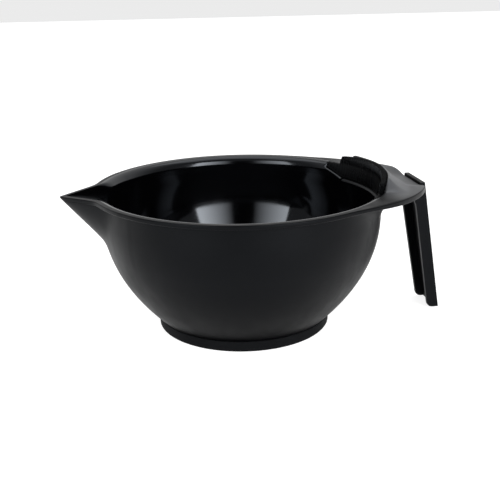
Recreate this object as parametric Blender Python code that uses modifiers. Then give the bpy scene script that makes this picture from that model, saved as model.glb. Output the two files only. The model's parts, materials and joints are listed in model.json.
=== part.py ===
"""Hair colour mixing bowl with a pouring lip, a brush-wiping comb and a drop handle.

Frame: metres, +Z up, origin on the bowl's axis on the surface it stands on.
+X points to the handle, -X to the pouring lip.
"""
import math

import bmesh
import bpy
from mathutils import Matrix, Vector

MM = 0.001

# ---------------------------------------------------------------- driving dimensions, in mm
RIM_HEIGHT = 70.2          # top of the rim above the table
RIM_OVERHANG = 4.4         # rim flange outside the wall at its widest
RIM_FLAT = 2.5             # width of the flat on top of the rim
RIM_THICK = 2.0            # thickness of the flange under that flat
LIP_DEPTH = 4.5            # height of the rounded inner lip
WALL_RADIUS = 68.1         # outside of the wall at its widest
WALL_STRAIGHT = 13.2       # near-upright wall from that widest place to the rim
WALL_TOE_IN = 0.3          # how far the wall draws in again over that height
WALL = 2.2                 # wall thickness
FLOOR = 2.2                # floor thickness
FLOOR_BLEND = 9.0          # soft run from the wall into the flat floor
FLOOR_CORNER = 4.0         # height at which the wall starts to turn into it
EDGE = 0.4                 # small edge break

FOOT_RADIUS = 42.6         # outside of the rubber foot
FOOT_STEP = 0.1            # foot of the wall outside the rubber
FOOT_HEIGHT = 5.2          # visible height of the rubber foot
FOOT_SOLE = 2.0            # rubber under the bowl's spigot
FOOT_WALL = 2.0            # rubber round the spigot
SPIGOT_WALL = 2.3          # thickness of the bowl's spigot ring
SPIGOT_RECESS = 1.7        # depth of the recess inside that ring
GAP = 0.3                  # clearance between pieces that touch

SPOUT_REACH = 15.1         # tip of the pouring lip past the rim
SPOUT_DROP = 1.5           # tip below the rim
SPOUT_FALL_RUN = 5.5       # the lip starts to fall this far inside the rim's edge
SPOUT_SIDE = 44.0          # plan angle between the lip's axis and its edge, degrees
SPOUT_KEEL = 48.0          # slope of the lip's keel below level, degrees
SPOUT_LENGTH = 27.5        # length of the lip's cone, most of it inside the wall

SHELF_REACH = 19.0         # how far the shelf swells past the rim
SHELF_SPREAD = 64.0        # angle either side of the handle where the swell starts, degrees
SHELF_LENGTH = 15.3        # straight outer end of the shelf past the rim
SHELF_CORNER = 1.0         # softness of the corners between the swell and that end
SHELF_FALL = 2.6           # fall of the shelf's top at the handle
SHELF_FALL_RIM = 0.4       # fall where the shelf leaves the rim
SHELF_LEVEL = (10.0, 24.0) # angle over which the one fall turns into the other, degrees
SHELF_EDGE = 2.85          # thickness of the shelf's edge at the handle
SHELF_EDGE_RIM = 1.6       # and where it leaves the rim
SHELF_EDGE_TURN = (20.0, 60.0)  # angle over which the one thickness turns into the other
SHELF_TUCK = 8.1           # shelf carried in past the wall's outside, before it is hollowed
SHELF_SINK = 0.15          # shelf's top below the rim's flat
SHELF_ROOT = 11.0          # height and reach of the fillet under the shelf

COMB_HALF = 33.0           # half width of the raised comb
COMB_CREST = 6.4           # middle of the comb above the rim
COMB_CROWN = 2.0           # fall of the crest from its middle to its ends
COMB_SEAT = 7.0            # foot of the comb below the rim
COMB_SEAT_HALF = 30.0      # half width of that foot
COMB_EAR_HALF = 41.0       # half width of the ears, just under the rim
COMB_EAR_DROP = 2.6        # ears' lower corner below the rim
COMB_FOOT_INSET = 1.9      # inner face at the foot, inside the wall's outside
COMB_TOP_OUTSET = 0.3      # inner face at the crest, outside it
COMB_FOOT_THICK = 1.6
COMB_TOP_THICK = 2.0
TOOTH_PITCH = 1.75
TOOTH_WIDTH = 0.9
TOOTH_PROUD = 0.7          # how far a tooth stands out of the inner face
PEG_RADIUS = 1.3
PEG_LENGTH = 2.2
PEG_SPACING = 36.0
PEG_HEIGHT = 2.6           # pegs above the comb's foot
PEG_TUCK = 0.8             # pegs and spigots start this far inside their own piece

RAMP_LAND = 1.2            # brush ramp behind the comb: level land at its high end
RAMP_RUN = 9.9             # and its run from there down to the shelf
RAMP_HEIGHT = 5.6          # rise of the ramp above the rim
RAMP_FADE = (22.0, 27.5)   # angle over which the ramp dies away, degrees

HANDLE_TOP_WIDTH = 23.0
HANDLE_FOOT_WIDTH = 18.4
HANDLE_DEPTH = 5.7         # web and flanges together
HANDLE_WALL = 1.9
HANDLE_LEAN = 9.8          # degrees from upright
HANDLE_FOOT = 0.6          # end of the handle above the table
HANDLE_PROUD = 1.1         # its top edge above the end of the shelf
HANDLE_CORNER = 2.6        # rounded inner corner at the foot
HANDLE_PLATE = 8.6         # length of the plate under the shelf
HANDLE_SPIGOT_RADIUS = 1.6
HANDLE_SPIGOT_LENGTH = 1.5
HANDLE_SPIGOT_SPACING = 12.0
HANDLE_SPIGOT_INSET = 4.6  # spigots from the shelf's end

TURN_STEPS = 64

# ---------------------------------------------------------------- worked-out places
RIM_RADIUS = WALL_RADIUS + RIM_OVERHANG
WALL_WIDEST = RIM_HEIGHT - WALL_STRAIGHT
WALL_FOOT_Z = FOOT_HEIGHT + GAP
WALL_FOOT_RADIUS = FOOT_RADIUS + FOOT_STEP
SPIGOT_RADIUS = FOOT_RADIUS - FOOT_WALL - GAP
SPIGOT_Z = FOOT_SOLE + GAP
RECESS_Z = SPIGOT_Z + SPIGOT_RECESS
FLOOR_Z = RECESS_Z + FLOOR
SPOUT_TIP = RIM_RADIUS + SPOUT_REACH
SHELF_END = RIM_RADIUS + SHELF_LENGTH
SHELF_INSIDE = WALL_RADIUS - SHELF_TUCK
SHELF_UNDER = RIM_HEIGHT - SHELF_SINK - SHELF_FALL - SHELF_EDGE
HANDLE_TOP = RIM_HEIGHT - SHELF_SINK - SHELF_FALL + HANDLE_PROUD
COMB_TOP_Z = RIM_HEIGHT + COMB_CREST
COMB_FOOT_Z = RIM_HEIGHT - COMB_SEAT
COMB_FOOT_RADIUS = WALL_RADIUS - COMB_FOOT_INSET
COMB_TOP_RADIUS = WALL_RADIUS + COMB_TOP_OUTSET
RAMP_START = COMB_TOP_RADIUS + COMB_TOP_THICK + RAMP_LAND
RAMP_END = RAMP_START + RAMP_RUN


def clear_scene():
    for obj in list(bpy.data.objects):
        bpy.data.objects.remove(obj, do_unlink=True)


def collection(name):
    coll = bpy.data.collections.new(name)
    bpy.context.scene.collection.children.link(coll)
    return coll


def material(name, colour, roughness):
    mat = bpy.data.materials.new(name)
    mat.use_nodes = True
    shader = mat.node_tree.nodes["Principled BSDF"]
    shader.inputs["Base Color"].default_value = (*colour, 1.0)
    shader.inputs["Roughness"].default_value = roughness
    shader.inputs["Metallic"].default_value = 0.0
    mat.diffuse_color = (*colour, 1.0)
    return mat


def add_object(name, mesh, coll, mat=None):
    obj = bpy.data.objects.new(name, mesh)
    coll.objects.link(obj)
    if mat is None:
        obj.hide_render = True
        obj.display_type = "WIRE"
    else:
        mesh.materials.append(mat)
    return obj


def from_bmesh(name, bm, coll, mat=None):
    mesh = bpy.data.meshes.new(name)
    bmesh.ops.recalc_face_normals(bm, faces=bm.faces)
    bm.to_mesh(mesh)
    bm.free()
    return add_object(name, mesh, coll, mat)


def turned(name, profile, coll, mat=None, closed=False):
    """A profile of (radius, height) points in mm, outer side top to bottom, turned about Z."""
    mesh = bpy.data.meshes.new(name)
    verts = [(r * MM, 0.0, z * MM) for r, z in profile]
    edges = [(i, i + 1) for i in range(len(verts) - 1)]
    if closed:
        edges.append((len(verts) - 1, 0))
    mesh.from_pydata(verts, edges, [])
    obj = add_object(name, mesh, coll, mat)
    screw = obj.modifiers.new("turn", "SCREW")
    screw.steps = TURN_STEPS
    screw.render_steps = TURN_STEPS
    screw.use_merge_vertices = True
    screw.merge_threshold = 0.00001
    screw.use_normal_calculate = True
    return obj


def extruded(name, outline, near, far, axis, coll, mat=None):
    """A closed outline in mm, extruded from near to far along X or Y."""
    bm = bmesh.new()
    verts = []
    for u, v in outline:
        place = (near, u, v) if axis == "X" else (u, near, v)
        verts.append(bm.verts.new(Vector(place) * MM))
    face = bm.faces.new(verts)
    sweep = Vector((far - near, 0, 0)) if axis == "X" else Vector((0, far - near, 0))
    made = bmesh.ops.extrude_face_region(bm, geom=[face], use_keep_orig=True)
    moved = [item for item in made["geom"] if isinstance(item, bmesh.types.BMVert)]
    bmesh.ops.translate(bm, verts=moved, vec=sweep * MM)
    return from_bmesh(name, bm, coll, mat)


def cylinder(name, radius, base, direction, length, coll, steps=20):
    """A closed cylinder from base along direction, all in mm."""
    bm = bmesh.new()
    bmesh.ops.create_cone(bm, cap_ends=True, segments=steps, radius1=radius * MM,
                          radius2=radius * MM, depth=length * MM)
    turn = Vector((0, 0, 1)).rotation_difference(Vector(direction)).to_matrix().to_4x4()
    centre = (Vector(base) + Vector(direction) * length / 2) * MM
    bmesh.ops.transform(bm, verts=bm.verts, matrix=Matrix.Translation(centre) @ turn)
    return from_bmesh(name, bm, coll)


def boolean(obj, other, operation):
    mod = obj.modifiers.new(operation.lower() + "_" + other.name, "BOOLEAN")
    mod.operation = operation
    mod.solver = "EXACT"
    mod.object = other


def smooth_step(value):
    value = min(max(value, 0.0), 1.0)
    return value * value * (3 - 2 * value)


def round_corner(start, knee, end, steps=4):
    """Points of a soft corner between two straight sides that meet at the knee."""
    points = []
    for i in range(steps + 1):
        t = i / steps
        blend = Vector(start) * (1 - t) ** 2 + Vector(knee) * 2 * t * (1 - t) + Vector(end) * t ** 2
        points.append((blend.x, blend.y))
    return points


# ---------------------------------------------------------------- bowl wall
def wall_radius(z):
    """Outside of the wall: a parabola from the foot to the widest place, then straight."""
    if z >= WALL_WIDEST:
        return WALL_RADIUS - WALL_TOE_IN * (z - WALL_WIDEST) / WALL_STRAIGHT
    share = (WALL_WIDEST - z) / (WALL_WIDEST - WALL_FOOT_Z)
    return WALL_RADIUS - (WALL_RADIUS - WALL_FOOT_RADIUS) * share ** 2


def wall_curve(offset, steps=12):
    """Wall points from the widest place down to the foot, moved inwards along the normal."""
    points = []
    for i in range(steps + 1):
        z = WALL_WIDEST + (WALL_FOOT_Z - WALL_WIDEST) * i / steps
        rise = 0.01
        slope = (wall_radius(min(z + rise, WALL_WIDEST)) - wall_radius(z - rise)) / (2 * rise)
        length = math.hypot(1.0, slope)
        points.append((wall_radius(z) - offset / length, z + offset * slope / length))
    return points


def outer_profile():
    top = RIM_HEIGHT
    under = top - RIM_THICK
    points = [(0, top), (RIM_RADIUS - EDGE, top), (RIM_RADIUS, top - EDGE)]
    points += [(RIM_RADIUS, under + EDGE), (RIM_RADIUS - EDGE, under)]
    points += [(wall_radius(under) + 1.0, under - 0.2), (wall_radius(under), under - 1.2)]
    points += wall_curve(0.0)
    points += [(SPIGOT_RADIUS, WALL_FOOT_Z), (SPIGOT_RADIUS, SPIGOT_Z)]
    points += [(SPIGOT_RADIUS - SPIGOT_WALL, SPIGOT_Z), (SPIGOT_RADIUS - SPIGOT_WALL, RECESS_Z)]
    points += [(0, RECESS_Z)]
    return points


def inner_profile():
    """Hollow of the bowl, carried up past the comb's crest."""
    lip_out = RIM_RADIUS - RIM_FLAT
    lip_in = wall_radius(RIM_HEIGHT - LIP_DEPTH) - WALL
    above = COMB_TOP_Z + 10
    points = [(0, above), (lip_out, above)]
    for i in range(7):
        turn = math.radians(90 * i / 6)
        points.append((lip_out - (lip_out - lip_in) * math.sin(turn),
                       RIM_HEIGHT - LIP_DEPTH * (1 - math.cos(turn))))
    wall = [p for p in wall_curve(WALL) if p[1] > FLOOR_Z + FLOOR_CORNER]
    points += wall
    start = wall[-1]
    knee = (start[0] - (start[1] - FLOOR_Z) * 1.05, FLOOR_Z)
    points += round_corner(start, knee, (knee[0] - FLOOR_BLEND, FLOOR_Z))[1:]
    points.append((0, FLOOR_Z))
    return points


# ---------------------------------------------------------------- pouring lip
def lip_cone(name, inset, coll, half):
    """Flattened cone with its point at the lip's tip; half keeps what lies under the rim."""
    tilt = math.atan2(SPOUT_DROP, SPOUT_REACH + SPOUT_FALL_RUN)
    side = math.tan(math.radians(SPOUT_SIDE))
    keel = math.tan(math.radians(SPOUT_KEEL) + tilt)
    length = SPOUT_LENGTH - inset
    bm = bmesh.new()
    bmesh.ops.create_cone(bm, cap_ends=True, segments=40, radius1=side * length, radius2=0.0,
                          depth=length)
    bmesh.ops.remove_doubles(bm, verts=bm.verts, dist=0.0001)
    lay_down = Matrix.Rotation(math.radians(-90), 4, "Y")
    to_tip = Matrix.Translation((length / 2, 0, 0))
    deepen = Matrix.Diagonal((1, 1, keel / side, 1))
    bmesh.ops.transform(bm, verts=bm.verts, matrix=deepen @ to_tip @ lay_down)
    if half:
        cut = bmesh.ops.bisect_plane(bm, geom=bm.verts[:] + bm.edges[:] + bm.faces[:],
                                     plane_co=(0, 0, 0), plane_no=(0, 0, 1), clear_outer=True)
        rim = [e for e in cut["geom_cut"] if isinstance(e, bmesh.types.BMEdge)]
        bmesh.ops.contextual_create(bm, geom=rim)
    place = Matrix.Translation((-SPOUT_TIP + inset, 0, RIM_HEIGHT - SPOUT_DROP))
    lean = Matrix.Rotation(-tilt, 4, "Y")
    scale = Matrix.Scale(MM, 4)
    bmesh.ops.transform(bm, verts=bm.verts, matrix=scale @ place @ lean)
    return from_bmesh(name, bm, coll)


# ---------------------------------------------------------------- shelf and brush ramp
def shelf_section(angle):
    """Closed (radius, height) section of the shelf at one angle from the handle, degrees."""
    swell = math.cos(math.radians(90 * angle / SHELF_SPREAD)) ** 2
    edge = RIM_RADIUS - GAP + (SHELF_REACH + GAP) * swell
    end = SHELF_END / math.cos(math.radians(angle))
    edge = -SHELF_CORNER * math.log(math.exp(-edge / SHELF_CORNER) + math.exp(-end / SHELF_CORNER))
    fade = smooth_step((RAMP_FADE[1] - abs(angle)) / (RAMP_FADE[1] - RAMP_FADE[0]))
    level = smooth_step((SHELF_LEVEL[1] - abs(angle)) / (SHELF_LEVEL[1] - SHELF_LEVEL[0]))
    drop = SHELF_FALL_RIM * smooth_step(swell * 2) * (1 - level) + SHELF_FALL * level
    turned_in = (SHELF_EDGE_TURN[1] - abs(angle)) / (SHELF_EDGE_TURN[1] - SHELF_EDGE_TURN[0])
    thick = SHELF_EDGE_RIM + (SHELF_EDGE - SHELF_EDGE_RIM) * smooth_step(turned_in)
    under = RIM_HEIGHT - SHELF_SINK - drop - thick
    start = RAMP_START

    def top(radius):
        fall = drop * smooth_step((radius - RIM_RADIUS) / (SHELF_END - 1 - RIM_RADIUS))
        if radius > edge - 1.5 * EDGE:
            fall = drop
        climb = max(0.0, (RAMP_END - radius) / (RAMP_END - RAMP_START)) ** 2
        return RIM_HEIGHT - SHELF_SINK - fall + RAMP_HEIGHT * fade * min(climb, 1.0)

    points = [(SHELF_INSIDE, top(start) - EDGE), (start - RAMP_LAND, top(start))]
    reach = edge - EDGE - start
    for share in (0.0, 0.12, 0.24, 0.36, 0.48, 0.6, 0.8, 1.0):
        radius = start + reach * share
        points.append((radius, top(radius)))
    points.append((edge, top(edge - EDGE) - EDGE))
    points.append((edge, under + EDGE))
    points.append((edge - EDGE, under))
    root = min(1.0, 1.8 * swell)
    tall = 1.0 + (SHELF_ROOT - 1.0) * root
    wide = min(tall, edge - EDGE - WALL_RADIUS + 0.3)
    for i in range(5):
        turn = math.radians(90 - 90 * i / 4)
        points.append((WALL_RADIUS - 0.5 + wide * (1 - math.cos(turn)),
                       under - tall + tall * math.sin(turn)))
    points.append((SHELF_INSIDE, under - tall))
    return points


def shelf_solid(coll):
    """Loft of the shelf's sections round the axis, closed by its two end sections."""
    step = 2.0
    count = int(SHELF_SPREAD / step)
    angles = [step * i for i in range(-count, count + 1)]
    bm = bmesh.new()
    rings = []
    for angle in angles:
        turn = math.radians(angle)
        ring = []
        for r, z in shelf_section(angle):
            ring.append(bm.verts.new((r * math.cos(turn) * MM, r * math.sin(turn) * MM, z * MM)))
        rings.append(ring)
    for first, second in zip(rings, rings[1:]):
        for i in range(len(first)):
            j = (i + 1) % len(first)
            bm.faces.new((first[i], first[j], second[j], second[i]))
    bm.faces.new(rings[0])
    bm.faces.new(rings[-1])
    return from_bmesh("shelf_solid", bm, coll)


# ---------------------------------------------------------------- comb
def comb_outline(gap):
    """Front view of the comb plate: seat, slanting sides, ears, and the crowned crest."""
    seat_z = COMB_FOOT_Z - gap
    ear_low = RIM_HEIGHT - COMB_EAR_DROP - gap
    ear_top = RIM_HEIGHT - 0.2
    half = [(COMB_SEAT_HALF + gap, seat_z), (COMB_EAR_HALF + gap, ear_low)]
    half += [(COMB_EAR_HALF + gap, ear_top if gap == 0 else RIM_HEIGHT + 2)]
    crest = []
    if gap == 0:
        half.append((COMB_HALF, ear_top))
        for i in range(9):
            y = COMB_HALF * (1 - i / 8)
            crest.append((y, COMB_TOP_Z - COMB_CROWN * (y / COMB_HALF) ** 2))
    else:
        half.append((COMB_HALF + gap, RIM_HEIGHT + 2))
        crest = [(COMB_HALF + gap, COMB_TOP_Z + 2), (0, COMB_TOP_Z + 2)]
    right = half + crest
    left = [(-y, z) for y, z in reversed(right[:-1])]
    return right + left


def comb_face(z):
    """Radius of the comb's inner face at a height."""
    share = (z - COMB_FOOT_Z) / (COMB_TOP_Z - COMB_FOOT_Z)
    return COMB_FOOT_RADIUS + (COMB_TOP_RADIUS - COMB_FOOT_RADIUS) * share


def comb_band(name, gap, coll, mat=None):
    """Turned cone band that the comb plate, or with a gap its pocket, is cut from."""
    low = COMB_FOOT_Z - 2
    high = COMB_TOP_Z + 3
    inner_low = comb_face(low) if gap == 0 else SHELF_INSIDE - 2
    inner_high = comb_face(high) if gap == 0 else SHELF_INSIDE - 2
    profile = [(comb_face(high) + COMB_TOP_THICK + gap, high),
               (comb_face(low) + COMB_FOOT_THICK + gap, low),
               (inner_low, low), (inner_high, high)]
    band = turned(name, profile, coll, mat, closed=True)
    limit = extruded(name + "_outline", comb_outline(gap), WALL_RADIUS - COMB_EAR_HALF,
                     SHELF_END + 7, "X", bpy.data.collections["cutters"])
    boolean(band, limit, "INTERSECT")
    return band


def comb_teeth(coll):
    """Upright ribs over the crest and upper face of the comb, one every pitch."""
    bm = bmesh.new()
    count = int((COMB_HALF - TOOTH_WIDTH) / TOOTH_PITCH)
    for i in range(-count, count + 1):
        turn = i * TOOTH_PITCH / COMB_TOP_RADIUS
        y = COMB_TOP_RADIUS * math.sin(turn)
        top = COMB_TOP_Z - COMB_CROWN * (y / COMB_HALF) ** 2 + TOOTH_PROUD
        low = RIM_HEIGHT - 1.5
        face = (comb_face(top) + comb_face(low)) / 2
        lean = math.atan2(comb_face(top) - comb_face(low), top - low)
        made = bmesh.ops.create_cube(bm, size=1.0)
        size = Matrix.Diagonal((TOOTH_PROUD + 1.4, TOOTH_WIDTH, top - low, 1))
        move = Matrix.Translation((face + 0.7 - TOOTH_PROUD / 2, 0, (top + low) / 2))
        swing = Matrix.Rotation(turn, 4, "Z")
        tilt = Matrix.Rotation(lean, 4, "Y")
        matrix = Matrix.Scale(MM, 4) @ swing @ move @ tilt @ size
        bmesh.ops.transform(bm, verts=made["verts"], matrix=matrix)
    return from_bmesh("comb_teeth", bm, coll)


def comb_peg(name, side, gap, coll):
    """Peg on the comb's back, or with a gap its hole in the bowl."""
    y = side * PEG_SPACING / 2
    z = COMB_FOOT_Z + PEG_HEIGHT
    back = comb_face(z) + COMB_FOOT_THICK
    turn = math.asin(y / back)
    base = (back * math.cos(turn) - PEG_TUCK, y, z)
    return cylinder(name, PEG_RADIUS + gap, base, (1, 0, 0), PEG_LENGTH + PEG_TUCK + gap, coll)


def make_comb(coll, cutters, mat):
    comb = comb_band("brush_comb", 0, coll, mat)
    boolean(comb, comb_teeth(cutters), "UNION")
    for side in (-1, 1):
        boolean(comb, comb_peg("comb_peg_%+d" % side, side, 0, cutters), "UNION")
    return comb


# ---------------------------------------------------------------- bowl
def handle_spigot(name, side, gap, coll):
    """Spigot on the handle's plate, or with a gap its hole in the shelf."""
    base = (SHELF_END - HANDLE_SPIGOT_INSET, side * HANDLE_SPIGOT_SPACING / 2,
            SHELF_UNDER - GAP - PEG_TUCK)
    return cylinder(name, HANDLE_SPIGOT_RADIUS + gap, base, (0, 0, 1),
                    HANDLE_SPIGOT_LENGTH + GAP + PEG_TUCK + gap, coll)


def make_bowl(coll, cutters, mat):
    bowl = turned("bowl_shell", outer_profile(), coll, mat)
    boolean(bowl, shelf_solid(cutters), "UNION")
    boolean(bowl, lip_cone("lip_outside", 0.0, cutters, True), "UNION")
    boolean(bowl, turned("bowl_hollow", inner_profile(), cutters), "DIFFERENCE")
    inset = WALL / math.sin(math.radians(SPOUT_SIDE))
    boolean(bowl, lip_cone("lip_hollow", inset, cutters, False), "DIFFERENCE")
    boolean(bowl, comb_band("comb_pocket", GAP, cutters), "DIFFERENCE")
    for side in (-1, 1):
        boolean(bowl, comb_peg("comb_peg_hole_%+d" % side, side, GAP, cutters), "DIFFERENCE")
        boolean(bowl, handle_spigot("spigot_hole_%+d" % side, side, GAP, cutters), "DIFFERENCE")
    return bowl


# ---------------------------------------------------------------- rubber foot
def make_foot(coll, mat):
    groove_in = SPIGOT_RADIUS - SPIGOT_WALL - GAP
    profile = [(0, RECESS_Z - GAP), (groove_in, RECESS_Z - GAP), (groove_in, FOOT_SOLE)]
    profile += [(SPIGOT_RADIUS + GAP, FOOT_SOLE), (SPIGOT_RADIUS + GAP, FOOT_HEIGHT)]
    profile += [(FOOT_RADIUS - EDGE, FOOT_HEIGHT), (FOOT_RADIUS, FOOT_HEIGHT - EDGE)]
    profile += [(FOOT_RADIUS, EDGE), (FOOT_RADIUS - EDGE, 0), (0, 0)]
    return turned("rubber_foot", profile, coll, mat)


# ---------------------------------------------------------------- handle
def web_x(z, inset=0.0):
    """Outer face of the leaning handle at a height, or a face inset from it."""
    lean = math.radians(HANDLE_LEAN)
    top = SHELF_END + 2 * GAP + HANDLE_WALL / math.cos(lean)
    return top + (HANDLE_TOP - z) * math.tan(lean) - inset / math.cos(lean)


def handle_half(z):
    """Half width of the handle, which tapers from its top to its foot."""
    share = (z - HANDLE_FOOT) / (HANDLE_TOP - HANDLE_FOOT)
    return (HANDLE_FOOT_WIDTH + (HANDLE_TOP_WIDTH - HANDLE_FOOT_WIDTH) * share) / 2


def handle_side():
    """Side view: web, plate under the shelf, root fillet and flange down to the foot."""
    plate_z = SHELF_UNDER - GAP
    under_z = plate_z - HANDLE_WALL
    plate_x = SHELF_END - HANDLE_PLATE
    inner = HANDLE_DEPTH
    foot = HANDLE_FOOT
    points = [(web_x(foot), foot), (web_x(HANDLE_TOP), HANDLE_TOP)]
    points += [(SHELF_END + GAP, HANDLE_TOP), (SHELF_END + GAP, plate_z)]
    points += [(plate_x, plate_z), (plate_x, under_z)]
    root = web_x(under_z, inner) - plate_x - 1.0
    points += round_corner((plate_x + 1.0, under_z), (plate_x + 1.0 + root, under_z),
                           (web_x(under_z - root, inner), under_z - root))
    corner = HANDLE_CORNER
    points += round_corner((web_x(foot + corner, inner), foot + corner), (web_x(foot, inner), foot),
                           (web_x(foot, inner) + corner, foot))
    return points


def channel_side():
    """Side view of the channel that leaves the web, the flanges and the plate standing."""
    top = SHELF_UNDER - GAP - HANDLE_WALL
    foot = HANDLE_FOOT - 10
    return [(web_x(foot, HANDLE_WALL), foot), (web_x(top, HANDLE_WALL), top),
            (web_x(top) - 40, top), (web_x(foot) - 40, foot)]


def tapered(name, outline, wall, coll, mat=None):
    """A side outline carried to both sides of the handle, a wall short of its outside."""
    bm = bmesh.new()
    near = [bm.verts.new(Vector((x, wall - handle_half(z), z)) * MM) for x, z in outline]
    far = [bm.verts.new(Vector((x, handle_half(z) - wall, z)) * MM) for x, z in outline]
    bm.faces.new(near)
    bm.faces.new(reversed(far))
    for i in range(len(outline)):
        j = (i + 1) % len(outline)
        bm.faces.new((near[j], near[i], far[i], far[j]))
    return from_bmesh(name, bm, coll, mat)


def make_handle(coll, cutters, mat):
    handle = tapered("handle", handle_side(), 0.0, coll, mat)
    boolean(handle, tapered("handle_channel", channel_side(), HANDLE_WALL, cutters), "DIFFERENCE")
    for side in (-1, 1):
        boolean(handle, handle_spigot("spigot_%+d" % side, side, 0, cutters), "UNION")
    return handle


def finish_round(obj):
    obj.data.shade_smooth()
    obj.data.set_sharp_from_angle(angle=math.radians(35))


def main():
    clear_scene()
    parts = collection("hair_colour_bowl")
    cutters = collection("cutters")
    black = material("satin_black_plastic", (0.012, 0.012, 0.014), 0.42)
    gloss = material("gloss_black_plastic", (0.010, 0.010, 0.012), 0.25)
    rubber = material("black_rubber", (0.018, 0.018, 0.018), 0.75)
    finish_round(make_bowl(parts, cutters, black))
    finish_round(make_foot(parts, rubber))
    make_comb(parts, cutters, gloss)
    make_handle(parts, cutters, black)


main()
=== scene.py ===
"""Hair colour bowl with a pouring lip, a brush-wiping comb and a drop handle.

An add-on that builds the visible pieces and the studio stage.  Each operator
makes one piece; the panel in the 3D view's sidebar lists them.
"""

import json
import math

import bpy
import numpy as np
from bpy.props import FloatProperty, FloatVectorProperty, IntProperty, PointerProperty
from mathutils import Matrix, Vector

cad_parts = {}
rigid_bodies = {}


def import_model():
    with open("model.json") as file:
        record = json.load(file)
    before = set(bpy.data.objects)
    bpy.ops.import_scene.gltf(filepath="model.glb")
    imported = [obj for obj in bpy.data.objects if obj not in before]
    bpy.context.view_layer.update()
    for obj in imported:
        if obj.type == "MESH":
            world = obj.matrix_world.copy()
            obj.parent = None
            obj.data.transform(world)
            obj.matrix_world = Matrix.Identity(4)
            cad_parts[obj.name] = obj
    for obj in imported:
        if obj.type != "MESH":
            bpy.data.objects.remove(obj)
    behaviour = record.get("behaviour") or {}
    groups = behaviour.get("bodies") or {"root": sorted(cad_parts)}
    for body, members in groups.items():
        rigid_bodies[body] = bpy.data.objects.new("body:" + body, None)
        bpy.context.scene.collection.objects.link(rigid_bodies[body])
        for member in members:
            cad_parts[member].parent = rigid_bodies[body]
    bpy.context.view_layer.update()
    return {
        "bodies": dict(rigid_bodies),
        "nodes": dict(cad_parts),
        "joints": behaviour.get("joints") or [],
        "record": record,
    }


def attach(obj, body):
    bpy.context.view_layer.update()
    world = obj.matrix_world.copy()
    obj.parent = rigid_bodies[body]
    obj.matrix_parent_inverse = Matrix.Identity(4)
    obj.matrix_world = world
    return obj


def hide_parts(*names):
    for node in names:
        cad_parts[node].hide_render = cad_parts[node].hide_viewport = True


bl_info = {
    "name": "Hair Colour Bowl",
    "version": (1, 0, 0),
    "blender": (4, 5, 0),
    "location": "View3D > Sidebar > Colour Bowl",
    "description": "Builds a hair colour bowl piece by piece, with its studio stage",
    "category": "Add Mesh",
}

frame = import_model()

MM = 0.001

# lengths in millimetres, unless a comment says otherwise
FOOT_STEP = 0.1                  # the bowl's foot stands this far past the rubber foot
COMB_SIDE_DEPTH = 0.6            # the comb's side angles are taken this far past its face
COMB_SETBACK = 0.10              # plate between the teeth, behind the comb's face
LIP_HALF_ANGLE = 0.6             # radians beside the lip's axis that the lip shapes
UNDER_DRAFT = 0.12               # fall of the rim's underside from its edge to the wall
SHELF_FALL_ANGLE = (16.0, 10.0)  # degrees from the handle where the shelf's fall ends, and its run
SHELF_EDGE_ANGLE = (60.0, 40.0)  # the same for the shelf's thicker edge
RAMP_ANGLE = (27.5, 5.5)         # the same for the brush ramp
WORN_AND_SHEEN_ANGLE = (38.0, 16.0)        # the same for the wear that brushes leave and the painted sheen laid on it
DULL_HEIGHT = 0.042              # metres; below this the satin wall reflects less and less
COOL = (0.86, 0.92, 1.0, 1.0)    # tint of the reflections, red to alpha
LIGHT_DISTANCE = 800.0           # light panels from the bowl's axis
LIGHT_HEIGHT = 800.0             # height of a light panel
DARK_CARD_DISTANCE = 830.0       # card between the light panels, from the bowl's axis
CAMERA_PLACE = Vector((-59.98, -380.40, 163.04))
CAMERA_FORWARD = Vector((0.15674, 0.93662, -0.31333))
CAMERA_ROLL = math.radians(-0.98)


# ---------------------------------------------------------------- settings
def size(name, description, millimetres):
    """One length setting, given in millimetres and kept in metres."""
    return FloatProperty(name=name, description=description, default=millimetres * MM,
                         subtype="DISTANCE", unit="LENGTH", precision=5)


def turn(name, description, degrees):
    """One angle setting, given in degrees and kept in radians."""
    return FloatProperty(name=name, description=description, default=math.radians(degrees),
                         subtype="ANGLE", unit="ROTATION")


def share(name, description, value):
    """One setting between nothing and all."""
    return FloatProperty(name=name, description=description, default=value, min=0.0, max=1.0,
                         subtype="FACTOR")


def paint(name, description, colour):
    """One linear colour setting."""
    return FloatVectorProperty(name=name, description=description, default=colour, size=3,
                               min=0.0, max=1.0, subtype="COLOR")


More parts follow.
